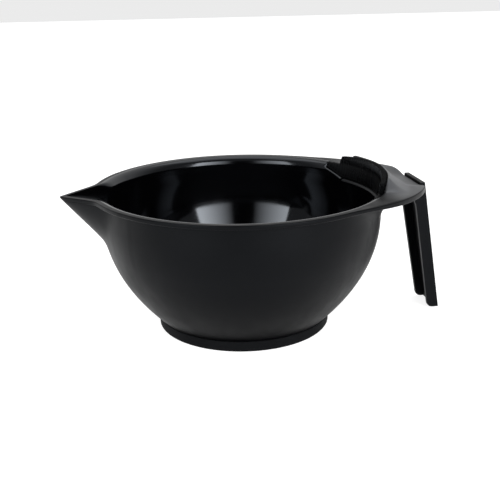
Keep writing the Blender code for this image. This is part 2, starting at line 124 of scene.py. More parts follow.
class ColourBowlSizes(bpy.types.PropertyGroup):
    """Sizes of the bowl, its lip, its shelf, the comb, the handle and the foot."""
    rim_height: size("Rim height", "Top of the rim above the table", 70.2)
    wall_radius: size("Wall radius", "Outside of the wall at its widest", 68.1)
    wall_straight: size("Straight wall", "Near-upright wall below the rim", 13.2)
    wall_toe_in: size("Toe-in", "How far that straight wall draws in at the rim", 0.3)
    wall: size("Wall", "Wall thickness", 2.2)
    wall_power: FloatProperty(name="Wall curve", description="Power of the wall's curve",
                              default=2.12, min=1.0)
    rim_overhang: size("Rim overhang", "Rim flange outside the wall", 4.4)
    rim_flat: size("Rim flat", "Width of the flat on top of the rim", 2.5)
    rim_thick: size("Rim thickness", "Thickness of the rim flange", 2.0)
    lip_depth: size("Lip depth", "Height of the rounded inner lip", 4.5)
    edge: size("Edge round", "Radius of the moulded edges", 0.45)
    floor: size("Floor height", "Inside floor above the table", 6.2)
    floor_blend: size("Floor blend", "Soft run from the wall into the floor", 9.0)
    floor_corner: size("Floor corner", "Height at which the wall turns into the floor", 4.0)
    spout_reach: size("Lip reach", "Tip of the pouring lip past the rim", 15.1)
    spout_drop: size("Lip drop", "Tip of the pouring lip below the rim", 1.1)
    spout_run: size("Lip fall run", "The lip starts to fall this far inside the rim", 5.5)
    spout_side: turn("Lip side", "Plan angle between the lip's axis and its edge", 44.0)
    spout_keel: turn("Lip keel", "Slope of the lip's keel below level", 48.0)
    spout_tip: size("Lip tip round", "Roundness of the lip's point", 0.55)
    spout_blend: size("Lip blend", "Softness of the join between lip and wall", 1.6)
    shelf_reach: size("Shelf reach", "How far the shelf swells past the rim", 19.0)
    shelf_length: size("Shelf length", "Straight end of the shelf past the rim", 15.3)
    shelf_corner: size("Shelf corner", "Softness of the shelf's corners", 1.0)
    shelf_spread: turn("Shelf spread", "Angle from the handle at which the swell starts", 64.0)
    shelf_fall: size("Shelf fall", "Fall of the shelf's top at the handle", 2.6)
    shelf_fall_rim: size("Shelf fall at the rim", "Fall where the shelf leaves the rim", 0.4)
    shelf_sink: size("Shelf sink", "Shelf's top below the rim's flat", 0.15)
    shelf_edge: size("Shelf edge", "Thickness of the shelf's edge at the handle", 2.85)
    shelf_edge_rim: size("Shelf edge at the rim", "Thickness where the shelf leaves the rim", 1.6)
    shelf_root: size("Shelf root", "Height of the fillet under the shelf", 11.0)
    ramp_height: size("Ramp height", "Rise of the brush ramp above the rim", 5.6)
    ramp_land: size("Ramp land", "Level land at the ramp's high end", 1.2)
    ramp_run: size("Ramp run", "Run of the ramp down to the shelf", 9.9)
    foot_radius: size("Foot radius", "Outside of the rubber foot", 43.1)
    foot_height: size("Foot height", "Visible height of the rubber foot", 5.2)
    foot_sole: size("Foot sole", "Rubber under the bowl", 2.0)
    foot_wall: size("Foot wall", "Rubber round the bowl's spigot", 2.0)
    spigot_wall: size("Spigot wall", "Thickness of the bowl's spigot ring", 2.3)
    spigot_recess: size("Spigot recess", "Depth of the recess inside that ring", 1.7)
    gap: size("Gap", "Clearance between pieces that touch", 0.3)
    comb_half: size("Comb half width", "Half width of the raised comb", 33.0)
    comb_crest: size("Comb crest", "Middle of the comb above the rim", 4.9)
    comb_crown: size("Comb crown", "Fall of the crest towards its ends", 2.0)
    comb_seat: size("Comb seat", "Foot of the comb below the rim", 7.0)
    comb_seat_half: size("Comb seat half width", "Half width of the comb's foot", 30.0)
    comb_ear_half: size("Comb ear half width", "Half width of the ears", 41.0)
    comb_ear_drop: size("Comb ear drop", "Ears' lower corner below the rim", 2.6)
    comb_ear_top: size("Comb ear top", "Ears' upper edge below the rim", 0.2)
    comb_inset: size("Comb inset", "Comb's face at its foot, inside the wall's outside", 1.2)
    comb_outset: size("Comb outset", "Comb's face at its crest, past the wall's outside", 0.3)
    comb_ledge: size("Comb ledge", "Rounded edge of the wall round the comb", 1.4)
    comb_foot_thick: size("Comb foot thickness", "Thickness of the comb at its foot", 1.2)
    comb_top_thick: size("Comb top thickness", "Thickness of the comb at its crest", 2.0)
    tooth_pitch: size("Tooth pitch", "Distance between the comb's teeth", 1.75)
    tooth_width: size("Tooth width", "Width of one tooth", 0.9)
    tooth_proud: size("Tooth relief", "How far a tooth stands out of the face", 0.62)
    tooth_rise: size("Tooth rise", "How far a tooth stands up from the crest", 1.3)
    handle_top: size("Handle top width", "Width of the handle at its top", 23.0)
    handle_foot: size("Handle foot width", "Width of the handle at its foot", 18.4)
    handle_depth: size("Handle depth", "Depth of the handle's channel and web", 5.7)
    handle_wall: size("Handle wall", "Thickness of the handle's walls", 1.9)
    handle_lean: turn("Handle lean", "Lean of the handle from upright", 9.8)
    handle_lift: size("Handle lift", "End of the handle above the table", 0.6)
    handle_proud: size("Handle proud", "Handle's top edge above the shelf's end", 1.1)
    handle_plate: size("Handle plate", "Length of the plate under the shelf", 8.6)
    handle_corner: size("Handle corner", "Rounded inner corner at the handle's foot", 2.6)


class ColourBowlFinish(bpy.types.PropertyGroup):
    """Colours and surface finish of the pieces."""
    shell: paint("Bowl plastic", "Pigment of the bowl", (0.0005, 0.0005, 0.0007))
    # painted sheen: this colour is far lighter than the bowl's pigment, brush wear plus a painted sheen
    # on the shelf and ramp
    worn_and_painted_sheen: paint("Worn shelf", "Bowl plastic where brushes rub the shelf", (0.045, 0.045, 0.047))
    comb: paint("Comb plastic", "Pigment of the comb", (0.0005, 0.0005, 0.0006))
    handle: paint("Handle plastic", "Pigment of the handle", (0.0006, 0.0006, 0.0008))
    rubber: paint("Rubber", "Pigment of the rubber foot", (0.0010, 0.0010, 0.0012))
    satin: share("Satin roughness", "Roughness of the spark-eroded outside", 0.40)
    polish: share("Polished roughness", "Roughness of the polished inside", 0.09)
    comb_gloss: share("Comb roughness", "Roughness of the comb", 0.26)
    rubber_matt: share("Rubber roughness", "Roughness of the rubber", 0.72)
    sheen_level: share("Satin reflection", "Reflection of the satin plastic", 0.10)
    comb_level: share("Comb reflection", "Reflection of the comb", 0.25)
    rubber_level: share("Rubber reflection", "Reflection of the rubber", 0.10)
    polish_level: share("Polished reflection", "Reflection of the polished inside", 0.50)
    grain: size("Grain", "Size of the moulded surface grain", 0.35)
    columns: IntProperty(name="Columns", description="Sections of the bowl round its axis",
                         default=300, min=48)


class ColourBowlStage(bpy.types.PropertyGroup):
    """Floor, lights and camera."""
    floor: paint("Floor colour", "Colour of the studio floor", (0.45, 0.45, 0.45))
    backdrop: FloatProperty(name="Backdrop", description="Brightness of the backdrop",
                            default=1.04, min=0.0)
    front: FloatProperty(name="Room", description="Brightness of the room behind the camera",
                         default=0.33, min=0.0)
    floor_glow: FloatProperty(name="Floor glow", description="Light that the floor gives itself",
                              default=0.84, min=0.0)
    key: FloatProperty(name="Front lights", description="Power of the two front lights",
                       default=9.0, min=0.0)
    top: FloatProperty(name="Top light", description="Power of the overhead light",
                       default=2.5, min=0.0)
    lens: FloatProperty(name="Lens", description="Focal length of the camera in millimetres",
                        default=57.9, min=1.0)


class Plain:
    """Holds the settings as millimetres, degrees and plain numbers."""


def settings():
    """Settings of the scene in millimetres and radians, with the places worked out from them."""
    group = bpy.context.scene.colour_bowl_sizes
    s = Plain()
    for key, prop in group.bl_rna.properties.items():
        if prop.type == "FLOAT":
            value = getattr(group, key)
            setattr(s, key, value / MM if prop.subtype == "DISTANCE" else value)
    s.rim_radius = s.wall_radius + s.rim_overhang
    s.widest = s.rim_height - s.wall_straight
    s.foot_z = s.foot_height + s.gap
    s.foot_join = s.foot_radius + FOOT_STEP
    s.spigot_radius = s.foot_radius - s.foot_wall - s.gap
    s.spigot_z = s.foot_sole + s.gap
    s.recess_z = s.spigot_z + s.spigot_recess
    s.tip = s.rim_radius + s.spout_reach
    s.shelf_end = s.rim_radius + s.shelf_length
    s.shelf_under = s.rim_height - s.shelf_sink - s.shelf_fall - s.shelf_edge
    s.handle_z = s.rim_height - s.shelf_sink - s.shelf_fall + s.handle_proud
    s.crest_z = s.rim_height + s.comb_crest
    s.seat_z = s.rim_height - s.comb_seat
    s.comb_foot = s.wall_radius - s.comb_inset
    s.comb_top = s.wall_radius + s.comb_outset
    s.ramp_start = s.comb_top + s.comb_top_thick + s.ramp_land
    return s


# ---------------------------------------------------------------- mesh helpers
def ease(value):
    """Soft step from 0 to 1: 3t^2 - 2t^3."""
    value = np.clip(value, 0.0, 1.0)
    return value * value * (3.0 - 2.0 * value)


def larger(a, b, soft):
    """Soft maximum: half of a + b + the root of (a - b)^2 + soft^2."""
    return 0.5 * (a + b + np.sqrt((a - b) ** 2 + soft ** 2))


def rings_mesh(name, rings, first_pole=None, last_pole=None):
    """Mesh of closed rings, an array of ring by point by XYZ in millimetres.

    Each ring joins the next with four-cornered faces.  An end is closed by a
    fan to its pole, or by one flat face if it has none.  Faces point outwards.
    """
    rings = np.asarray(rings, dtype=float)
    count, around = rings.shape[:2]
    index = np.arange(count * around).reshape(count, around)
    beside = np.roll(index, -1, axis=1)
    quads = np.stack([index[:-1], index[1:], beside[1:], beside[:-1]], axis=-1).reshape(-1, 4)
    points = [rings.reshape(-1, 3)]
    loops = [quads.ravel()]
    totals = [np.full(len(quads), 4)]
    for end, pole in ((0, first_pole), (-1, last_pole)):
        ring, after = (index[0], beside[0]) if end == 0 else (beside[-1], index[-1])
        if pole is None:
            loops.append(ring if end == 0 else index[-1][::-1])
            totals.append(np.array([around]))
            continue
        corner = sum(len(p) for p in points)
        points.append(np.array([pole], dtype=float))
        loops.append(np.stack([np.full(around, corner), ring, after], axis=-1).ravel())
        totals.append(np.full(around, 3))
    points = np.concatenate(points)
    loops = np.concatenate(loops).astype(np.int32)
    totals = np.concatenate(totals).astype(np.int32)
    corners = points[quads]
    lead = np.cross(corners[:, 1] - corners[:, 0], corners[:, 2] - corners[:, 0])
    tail = np.cross(corners[:, 2] - corners[:, 0], corners[:, 3] - corners[:, 0])
    middle = points.mean(axis=0)
    volume = (corners[:, 0] - middle) * (lead + tail)
    starts = np.concatenate([[0], np.cumsum(totals)[:-1]]).astype(np.int32)
    if volume.sum() < 0:
        owner = np.repeat(np.arange(len(totals)), totals)
        place = np.arange(len(loops)) - starts[owner]
        loops = loops[starts[owner] + totals[owner] - 1 - place]
    mesh = bpy.data.meshes.new(name)
    mesh.vertices.add(len(points))
    mesh.vertices.foreach_set("co", (points * MM).ravel())
    mesh.loops.add(len(loops))
    mesh.loops.foreach_set("vertex_index", loops)
    mesh.polygons.add(len(totals))
    mesh.polygons.foreach_set("loop_start", starts)
    mesh.update(calc_edges=True)
    mesh.validate()
    return mesh


def add_piece(mesh, material, node, crease=38.0):
    """Object for a mesh that stands for one CAD node and rides on the bowl."""
    mesh.shade_smooth()
    mesh.set_sharp_from_angle(angle=math.radians(crease))
    mesh.materials.append(material)
    piece = bpy.data.objects.new(mesh.name, mesh)
    bpy.context.scene.collection.objects.link(piece)
    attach(piece, "root")
    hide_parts(node)
    return piece


def point_values(mesh, key, values):
    """Gives each point of a mesh one number under a name."""
    layer = mesh.attributes.new(key, "FLOAT", "POINT")
    layer.data.foreach_set("value", np.asarray(values, dtype=np.float32).ravel())


def turned_rings(profile, columns):
    """Rings of a profile of (radius, height) turned round the axis: x = r cos a, y = r sin a."""
    angle = np.linspace(0.0, 2.0 * math.pi, columns, endpoint=False)
    profile = np.asarray(profile, dtype=float)
    x = profile[:, :1] * np.cos(angle)
    y = profile[:, :1] * np.sin(angle)
    z = np.repeat(profile[:, 1:], columns, axis=1)
    return np.stack([x, y, z], axis=-1)


# ---------------------------------------------------------------- bowl
def wall_at(s, z):
    """Outside of the wall: a power curve from its foot to its widest place, then nearly straight."""
    down = np.maximum(s.widest - z, 0.0) / (s.widest - s.foot_z)
    low = s.wall_radius - (s.wall_radius - s.foot_join) * down ** s.wall_power
    high = s.wall_radius - s.wall_toe_in * (z - s.widest) / s.wall_straight
    return np.where(z < s.widest, low, high)


def inner_wall(s, z):
    """Inside of the wall: the outside moved in by the wall along its normal."""
    down = np.maximum(s.widest - z, 0.0) / (s.widest - s.foot_z)
    slope = s.wall_power * (s.wall_radius - s.foot_join) * down ** (s.wall_power - 1.0)
    slope = slope / (s.widest - s.foot_z)
    length = np.sqrt(1.0 + slope ** 2)
    return wall_at(s, z) - s.wall / length, z + s.wall * slope / length


def columns_of(s, count):
    """Angles of the bowl's sections: even ones, and close ones at the lip's tip and the comb."""
    seat = math.degrees(math.asin((s.comb_ear_half + s.gap) / (s.comb_top + COMB_SIDE_DEPTH)))
    even = np.linspace(-180.0, 180.0, count, endpoint=False)
    near_tip = 180.0 - np.array([0.15, 0.3, 0.45, 0.65, 0.9, 1.5, 2.1])
    near_end = np.arange(10.5, 28.0, 0.75)
    step = seat + np.array([-1.2, -0.5, -0.04, 0.04, 0.15, 0.28, 0.42, 0.58, 0.75, 1.0, 1.4])
    half = np.concatenate([near_tip, near_end, step])
    angle = np.unique(np.round(np.concatenate([even, half, -half]), 3))
    return angle, seat


def at_lip(off):
    """Whether an angle from the lip's axis, in radians, is near the lip."""
    return np.abs(off) < LIP_HALF_ANGLE


def lip_radius(s, tip, off, depth):
    """Radius of a flattened cone with its point at the lip's tip.

    off is the angle from the lip's axis and depth lies below the lip's top.
    With a = tip, T = tan(side) and K = tan(keel), the radius r solves
    (r sin off / T)^2 + (depth / K)^2 = (a - r cos off)^2.
    """
    side = math.tan(s.spout_side)
    keel = math.tan(s.spout_keel) + s.spout_drop / (s.spout_reach + s.spout_run)
    soft = s.spout_tip / tip
    sine = (np.sin(off) ** 2 + soft ** 2) / side ** 2
    cosine = np.cos(off)
    reach = tip * (1.0 + soft / side) - 0.12
    square = cosine ** 2 - sine
    square = np.where(np.abs(square) < 1e-4, 1e-4, square)
    root = (reach * cosine) ** 2 - square * (reach ** 2 - (depth / keel) ** 2)
    radius = (reach * cosine - np.sqrt(np.maximum(root, 0.0))) / square
    return np.where(at_lip(off) & (root > 0.0) & (radius > 0.0), radius, 0.0)


def with_lip(s, radius, height, off, inset=0.0):
    """Radius swelled out to the pouring lip's cone, its point moved in by the inset."""
    run = s.spout_reach + s.spout_run
    swelled = radius
    for _ in range(3):
        top = s.rim_height - s.spout_drop * (swelled * np.cos(off) - (s.tip - run)) / run
        cone = lip_radius(s, s.tip - inset, off, np.maximum(top - height, 0.0))
        swelled = larger(radius, cone, s.spout_blend)
    return np.where(at_lip(off), swelled - 0.25 * s.spout_blend ** 2 / 60.0, radius)


def lip_top(s, radius, off):
    """Height of the rim, which falls in a straight line over the lip's run towards its tip."""
    run = s.spout_reach + s.spout_run
    fall = np.clip((radius * np.cos(off) - (s.tip - run)) / run, 0.0, 1.0)
    return s.rim_height - s.spout_drop * fall * ease((0.40 - np.abs(off)) / 0.20)


def near_handle(away, limits):
    """1 near the handle and 0 past an angle in degrees, with a soft step over a run before it."""
    end, run = limits
    return ease((end - away) / run)


def shelf_of(s, angle):
    """Shelf sizes at each angle in degrees: edge, fall of its top, sink, underside, ramp fade.

    The edge swells by cos^2 past the rim and is cut by the straight end with
    a soft minimum.
    """
    away = np.abs(angle)
    spread = math.degrees(s.shelf_spread)
    swell = np.where(away < spread, np.cos(np.radians(90.0 * away / spread)) ** 2, 0.0)
    edge = s.rim_radius - s.gap + (s.shelf_reach + s.gap) * swell
    end = s.shelf_end / np.cos(np.radians(np.minimum(away, 75.0)))
    soft = s.shelf_corner
    edge = -soft * np.log(np.exp(-edge / soft) + np.exp(-end / soft))
    edge = larger(edge, np.full_like(edge, s.rim_radius), 0.3) - 0.15 * ease(1.0 - swell * 20.0)
    level = near_handle(away, SHELF_FALL_ANGLE)
    fall = s.shelf_fall_rim * ease(swell * 2.0) * (1.0 - level) + s.shelf_fall * level
    on_shelf = ease(swell * 6.0)
    thick = s.shelf_edge_rim + (s.shelf_edge - s.shelf_edge_rim) * near_handle(away, SHELF_EDGE_ANGLE)
    sink = s.shelf_sink * on_shelf
    under = s.rim_height - s.rim_thick * (1.0 - on_shelf) - (sink + fall + thick) * on_shelf
    fade = near_handle(away, RAMP_ANGLE)
    return swell, edge, fall, sink, under, fade


def bowl_top(s, radius, shelf):
    """Height of the rim, the shelf and the brush ramp at a radius of each section.

    The shelf falls by a soft step between the rim and its end.  The ramp adds
    its height times the square of the share of its run that is left.
    """
    _, edge, fall, sink, _, fade = shelf
    reach = s.shelf_end - 1.0 - s.rim_radius
    drop = fall * ease((radius - s.rim_radius) / reach)
    drop = np.where(radius > edge - 0.7, fall, drop)
    climb = np.clip((s.ramp_start + s.ramp_run - radius) / s.ramp_run, 0.0, 1.0) ** 2
    return s.rim_height - sink - drop + s.ramp_height * fade * climb


def comb_face(s, z):
    """Radius of the comb's inner face: a straight line from its foot to its crest."""
    part = (z - s.seat_z) / (s.crest_z - s.seat_z)
    return s.comb_foot + (s.comb_top - s.comb_foot) * part


def comb_back(s, z):
    """Radius of the comb's back: the face plus a thickness that changes evenly with height."""
    part = (z - s.seat_z) / (s.crest_z - s.seat_z)
    return comb_face(s, z) + s.comb_foot_thick + (s.comb_top_thick - s.comb_foot_thick) * part


def warped(angle, seat, pull):
    """Angles drawn in so that the column at the comb's side follows its slanting edge."""
    away = np.interp(np.abs(angle), [0.0, seat, seat + 22.0, 180.0],
                     [0.0, seat - pull, seat + 22.0, 180.0])
    return np.sign(angle) * away


class BowlSurface:
    """Rings of the bowl from the middle of its floor over the rim to its underside.

    Each step adds rings, with how polished the surface is at each point and how
    much brush wear and painted sheen it carries.  gloss and rubbed_and_sheen may
    be one number or one for each section.
    """

    def __init__(self, s, count):
        self.s = s
        self.angle, self.seat = columns_of(s, count)
        self.off = np.radians((self.angle + 360.0) % 360.0 - 180.0)
        self.near = at_lip(self.off)
        self.shelf = shelf_of(s, self.angle)
        self.seated = np.abs(self.angle) < self.seat
        self.one = np.ones_like(self.angle)
        self.inset = s.wall / math.sin(s.spout_side)
        self.base_z = s.seat_z - s.gap
        side = math.asin((s.comb_seat_half + s.gap) / (s.comb_foot + 2.0))
        self.foot_pull = self.seat - math.degrees(side)
        self.rings, self.polish, self.worn_and_painted_sheen = [], [], []
        self.floor_and_wall()
        self.ledge()
        inner = self.pocket()
        edge = self.top(inner)
        self.outside(edge)
        self.spigot()

    def add(self, radius, height, gloss=0.0, pull=0.0, rubbed_and_sheen=0.0):
        """One ring, its sections drawn in by pull degrees at the comb's sides."""
        place = np.radians(warped(self.angle, self.seat, pull))
        radius = radius * self.one
        height = height * self.one
        self.rings.append(np.stack([radius * np.cos(place), radius * np.sin(place), height], -1))
        self.polish.append(gloss * self.one)
        self.worn_and_painted_sheen.append(rubbed_and_sheen * self.one)

    def inside(self, radius, height):
        """Inside radius, swelled out to the inside of the pouring lip."""
        return with_lip(self.s, radius * self.one, height, self.off, self.inset)

    def skin(self, radius, height):
        """Outside radius, swelled out to the pouring lip on the lip's side."""
        radius = radius * self.one
        return np.where(self.near, with_lip(self.s, radius, height * self.one, self.off), radius)

    def floor_and_wall(self):
        """Flat floor, a soft quadratic corner and the inner wall up to its widest place."""
        s = self.s
        low_z = s.floor + s.floor_corner - 1.5
        wall_r, wall_z = inner_wall(s, low_z + (s.widest - low_z) * np.linspace(0.0, 1.0, 40))
        knee = wall_r[0] - (wall_z[0] - s.floor) * 1.05
        for part in np.linspace(0.04, 1.0, 12):
            self.add((knee - s.floor_blend) * part, s.floor, 1.0)
        for t in np.linspace(0.0, 1.0, 14)[1:-1]:
            radius = ((knee - s.floor_blend) * (1 - t) ** 2 + knee * 2 * t * (1 - t)
                      + wall_r[0] * t * t)
            self.add(radius, s.floor + (wall_z[0] - s.floor) * t * t, 1.0)
        for radius, height in zip(wall_r, wall_z):
            pull = self.foot_pull * float(ease((height - self.base_z + 26.0) / 24.0))
            self.add(self.inside(radius, height), height, 1.0, pull)

    def ledge(self):
        """Upright wall up to the comb's foot, with a quarter-round ledge and less gloss there."""
        s = self.s
        ledge_z = self.base_z - s.comb_ledge
        bend = np.sin(np.radians([20.0, 40.0, 60.0, 78.0, 90.0]))
        for height in np.append(np.linspace(s.widest, ledge_z, 4)[1:],
                                self.base_z - s.comb_ledge * (1.0 - bend)):
            radius = wall_at(s, height) - s.wall
            rise = max(0.0, min(1.0, (height - ledge_z) / s.comb_ledge))
            rounded = s.comb_ledge * (1.0 - math.sqrt(1.0 - rise ** 2)) * self.seated
            gloss = 1.0 - 0.8 * self.seated * ease(rise / 0.3)
            self.add(self.inside(radius + rounded, height), height, gloss, self.foot_pull)

    def pocket(self):
        """Pocket behind the comb, and beside it the inner lip, a quarter ellipse.

        Returns the last radius of each section.
        """
        s = self.s
        apart = (np.abs(self.angle) - self.seat) * math.radians(1.0) * s.comb_top
        apart = np.clip(apart, 0.0, s.comb_ledge)
        beside = s.comb_ledge - np.sqrt(s.comb_ledge ** 2 - (s.comb_ledge - apart) ** 2)
        beside = np.where(self.seated, 0.0, beside)
        lip_out = s.rim_radius - s.rim_flat
        lip_in = float(wall_at(s, s.rim_height - s.lip_depth)) - s.wall
        rim_in = self.inside(lip_out, s.rim_height)
        rim_top = np.where(self.seated, bowl_top(s, s.ramp_start * self.one, self.shelf),
                           lip_top(s, rim_in, self.off))
        for part in np.sin(np.linspace(0.0, 0.5 * math.pi, 30)):
            height = self.base_z + (rim_top - self.base_z) * part
            plain_z = self.base_z + (s.rim_height - self.base_z) * part
            over = (plain_z - s.rim_height + s.lip_depth) / s.lip_depth
            round_part = np.clip(over, 0.0, 1.0)
            radius = np.where(over < 0.0, wall_at(s, plain_z) - s.wall,
                              lip_out - (lip_out - lip_in) * np.sqrt(1.0 - round_part ** 2))
            rise = np.clip((plain_z - self.base_z) / (s.comb_seat - s.comb_ear_drop), 0.0, 1.0)
            half = s.comb_seat_half + (s.comb_ear_half - s.comb_seat_half) * rise + s.gap
            side = math.asin(half / (s.comb_top + COMB_SIDE_DEPTH))
            pull = min(self.seat - math.degrees(side), self.foot_pull)
            last = np.where(self.seated, comb_back(s, height) + s.gap,
                            self.inside(radius, height) + beside)
            lift = np.where(self.seated | (part > 0), 0.0, 0.03)
            self.add(last, height + lift, 0.85, pull)
        return last

    def top(self, inner):
        """Rim, shelf and brush ramp from the pocket to the edge; returns the edge's radius."""
        s = self.s
        edge = with_lip(s, self.shelf[1], s.rim_height, self.off)
        for part in np.linspace(0.0, 1.0, 24)[1:]:
            radius = inner + (edge - s.edge - inner) * part
            # brush wear on the shelf and ramp; the same mask lays a painted sheen there, as its colour
            # is lighter than wear alone
            rubbed_and_sheen = ease(radius - s.ramp_start + 1.5) * near_handle(np.abs(self.angle), WORN_AND_SHEEN_ANGLE)
            on_ramp = ease((s.ramp_start + s.ramp_run + 1.0 - radius) / 2.5)
            self.add(radius, self.top_at(radius), rubbed_and_sheen=rubbed_and_sheen * (0.6 + 0.4 * on_ramp))
        return edge

    def top_at(self, radius):
        """Height of the top at a radius of each section."""
        return np.where(self.near, lip_top(self.s, radius, self.off),
                        bowl_top(self.s, radius, self.shelf))

    def outside(self, edge):
        """Rounded edge, underside, its fillet as a quarter ellipse, and the outer wall."""
        s = self.s
        _, _, _, _, under, _ = self.shelf
        rim_z = self.top_at(edge - s.edge)
        outer = np.where(self.near, s.rim_radius, edge)
        corner = np.radians([22.0, 45.0, 68.0, 90.0])
        for t in corner:
            depth = s.edge * (1.0 - math.cos(t))
            radius = np.where(self.near, with_lip(s, outer, rim_z - depth, self.off), edge)
            self.add(radius - s.edge * (1.0 - math.sin(t)), rim_z - depth)
        low = under + (rim_z - s.rim_height) * self.near
        for part in (0.35, 0.7, 1.0):
            height = rim_z - s.edge + (low - rim_z + 2.0 * s.edge) * part
            self.add(self.skin(outer, height), height)
        for t in corner:
            height = low + s.edge * (1.0 - math.sin(t))
            self.add(self.skin(outer, height) - s.edge * (1.0 - math.cos(t)), height)
        swell = self.shelf[0]
        tall = 1.0 + (s.shelf_root - 1.0) * np.minimum(1.0, 1.8 * swell)
        wide = np.minimum(tall, outer - s.edge - s.wall_radius - 0.2)
        for part in np.linspace(0.0, 1.0, 9)[1:]:
            height = low - UNDER_DRAFT * part
            start = outer - s.edge
            self.add(self.skin(start + (s.wall_radius + wide - start) * part, height), height)
        for t in np.radians(np.linspace(78.0, 0.0, 9)):
            height = low - UNDER_DRAFT - tall + tall * math.sin(t)
            radius = wall_at(s, height) + wide * (1.0 - math.cos(t))
            self.add(self.skin(radius, height), height)
        begin = low - UNDER_DRAFT - tall
        for part in np.linspace(0.0, 1.0, 50)[1:]:
            height = begin + (s.foot_z - begin) * part
            self.add(self.skin(wall_at(s, height), height), height)

    def spigot(self):
        """Step to the rubber foot, the spigot ring in it and the recess inside that ring."""
        s = self.s
        ring_in = s.spigot_radius - s.spigot_wall
        for radius, height in ((s.foot_join - 0.15, s.foot_z - 0.02),
                               (s.foot_join - 0.9, s.foot_z - 0.03),
                               (s.spigot_radius + 0.2, s.foot_z - 0.03),
                               (s.spigot_radius, s.foot_z - 0.2),
                               (s.spigot_radius, s.spigot_z + 0.3),
                               (s.spigot_radius - 0.3, s.spigot_z),
                               (ring_in + 0.2, s.spigot_z), (ring_in, s.spigot_z + 0.2),
                               (ring_in, s.recess_z - 0.2), (ring_in - 0.2, s.recess_z),
                               (20.0, s.recess_z), (3.0, s.recess_z)):
            self.add(radius, height)


# ---------------------------------------------------------------- comb
def comb_rings(s):
    """Rings of the comb, one upright section after another along its width, and its polish.

    A section runs up the inner face, over the rounded top, down the back and
    round the foot.  Teeth stand out of the face where cos of the pitch is high.
    """
    pitch = s.tooth_pitch
    raised = np.arange(-s.comb_half, s.comb_half + 0.01, pitch / 10.0)
    ear = np.arange(s.comb_half + 0.05, s.comb_ear_half, 0.2)
    ear = np.append(ear, s.comb_ear_half - 0.02)
    across = np.concatenate([-ear[::-1], raised, ear])
    away = np.abs(across)
    on_crest = away <= s.comb_half
    beat = np.cos(2.0 * math.pi * across / pitch)
    edge_beat = math.cos(math.pi * s.tooth_width / pitch)
    tooth = ease((beat - edge_beat) / 0.35 + 0.5)
    inside = away < s.comb_half - 0.8
    crest = s.crest_z - s.comb_crown * (across / s.comb_half) ** 2
    top = np.where(on_crest, crest + tooth * s.tooth_rise * inside, s.rim_height - s.comb_ear_top)
    slant = np.clip((away - s.comb_seat_half) / (s.comb_ear_half - s.comb_seat_half), 0.0, 1.0)
    foot = s.seat_z + (s.comb_seat - s.comb_ear_drop) * slant
    round_top = np.where(on_crest, 0.45, 0.25)
    points = []

    def add(radius, height):
        points.append(np.stack([np.sqrt(np.maximum(radius ** 2 - across ** 2, 1.0)), across,
                                height], -1))

    face_rings = 34
    for part in np.linspace(0.0, 1.0, face_rings):
        height = foot + 0.25 + (top - round_top - foot - 0.25) * part
        strong = ease((height - (s.rim_height + 0.4)) / 3.2) * on_crest * inside
        faint = 0.05 * ease((height - foot - 1.0) / 1.0) * (1.0 - strong)
        relief = tooth * (s.tooth_proud * strong + faint)
        add(comb_face(s, height) - relief + COMB_SETBACK, height)
    for t in np.radians([30.0, 60.0, 90.0]):
        height = top - round_top * (1.0 - math.sin(t))
        strong = tooth * s.tooth_proud * on_crest * inside
        add(comb_face(s, height) + COMB_SETBACK - strong + round_top * (1.0 - math.cos(t)), height)
    for t in np.radians([90.0, 60.0, 30.0]):
        height = top - round_top * (1.0 - math.sin(t))
        add(comb_back(s, height) - round_top * (1.0 - math.cos(t)), height - 0.01)
    for part in np.linspace(0.0, 1.0, 12):
        height = top - round_top - 0.05 - (top - round_top - foot - 0.35) * part
        add(comb_back(s, height), height)
    for part in (0.12, 0.5, 0.88):
        back = comb_back(s, foot)
        add(back + (comb_face(s, foot) + COMB_SETBACK - back) * part, foot)
    polish = np.zeros((across.size, len(points)))
    polish[:, :face_rings] = 1.0
    return np.stack(points, axis=1), polish


# ---------------------------------------------------------------- handle
def handle_web(s, z, inset=0.0):
    """Outer face of the leaning web at a height, or a face inset from it."""
    top = s.shelf_end + 2.0 * s.gap + s.handle_wall / math.cos(s.handle_lean)
    return top + (s.handle_z - z) * math.tan(s.handle_lean) - inset / math.cos(s.handle_lean)


def soft_corner(start, knee, end, steps):
    """Points of a soft corner: (1-t)^2 start + 2t(1-t) knee + t^2 end."""
    t = np.linspace(0.0, 1.0, steps)[:, None]
    start, knee, end = (np.array(p, dtype=float) for p in (start, knee, end))
    return start * (1 - t) ** 2 + knee * 2 * t * (1 - t) + end * t ** 2


def handle_section(s, depth, corner, root):
    """Closed side view of the handle with its inner face at a depth from the web's face."""
    up = np.linspace(s.handle_lift, s.handle_z, 24)
    outer = np.stack([handle_web(s, up), up], -1)
    plate_z = s.shelf_under - s.gap
    under_z = plate_z - s.handle_wall
    plate_x = s.shelf_end - s.handle_plate
    tongue_x = s.shelf_end + s.gap
    tongue = np.array([[tongue_x, s.handle_z], [tongue_x, plate_z + 0.5]])
    plate = np.array([[tongue_x - 0.2, plate_z], [plate_x, plate_z], [plate_x, under_z]])
    start = (plate_x + 1.0, under_z)
    knee = (handle_web(s, under_z, depth) - root, under_z)
    end_z = under_z - root
    fillet = soft_corner(knee, (handle_web(s, under_z, depth), under_z),
                         (handle_web(s, end_z, depth), end_z), 8)
    down = np.linspace(end_z, s.handle_lift + corner, 20)[1:-1]
    inner = np.stack([handle_web(s, down, depth), down], -1)
    foot = soft_corner((handle_web(s, s.handle_lift + corner, depth), s.handle_lift + corner),
                       (handle_web(s, s.handle_lift, depth), s.handle_lift),
                       (handle_web(s, s.handle_lift, depth) + corner, s.handle_lift), 7)
    return np.concatenate([outer, tongue, plate, [start], fillet, inner, foot])


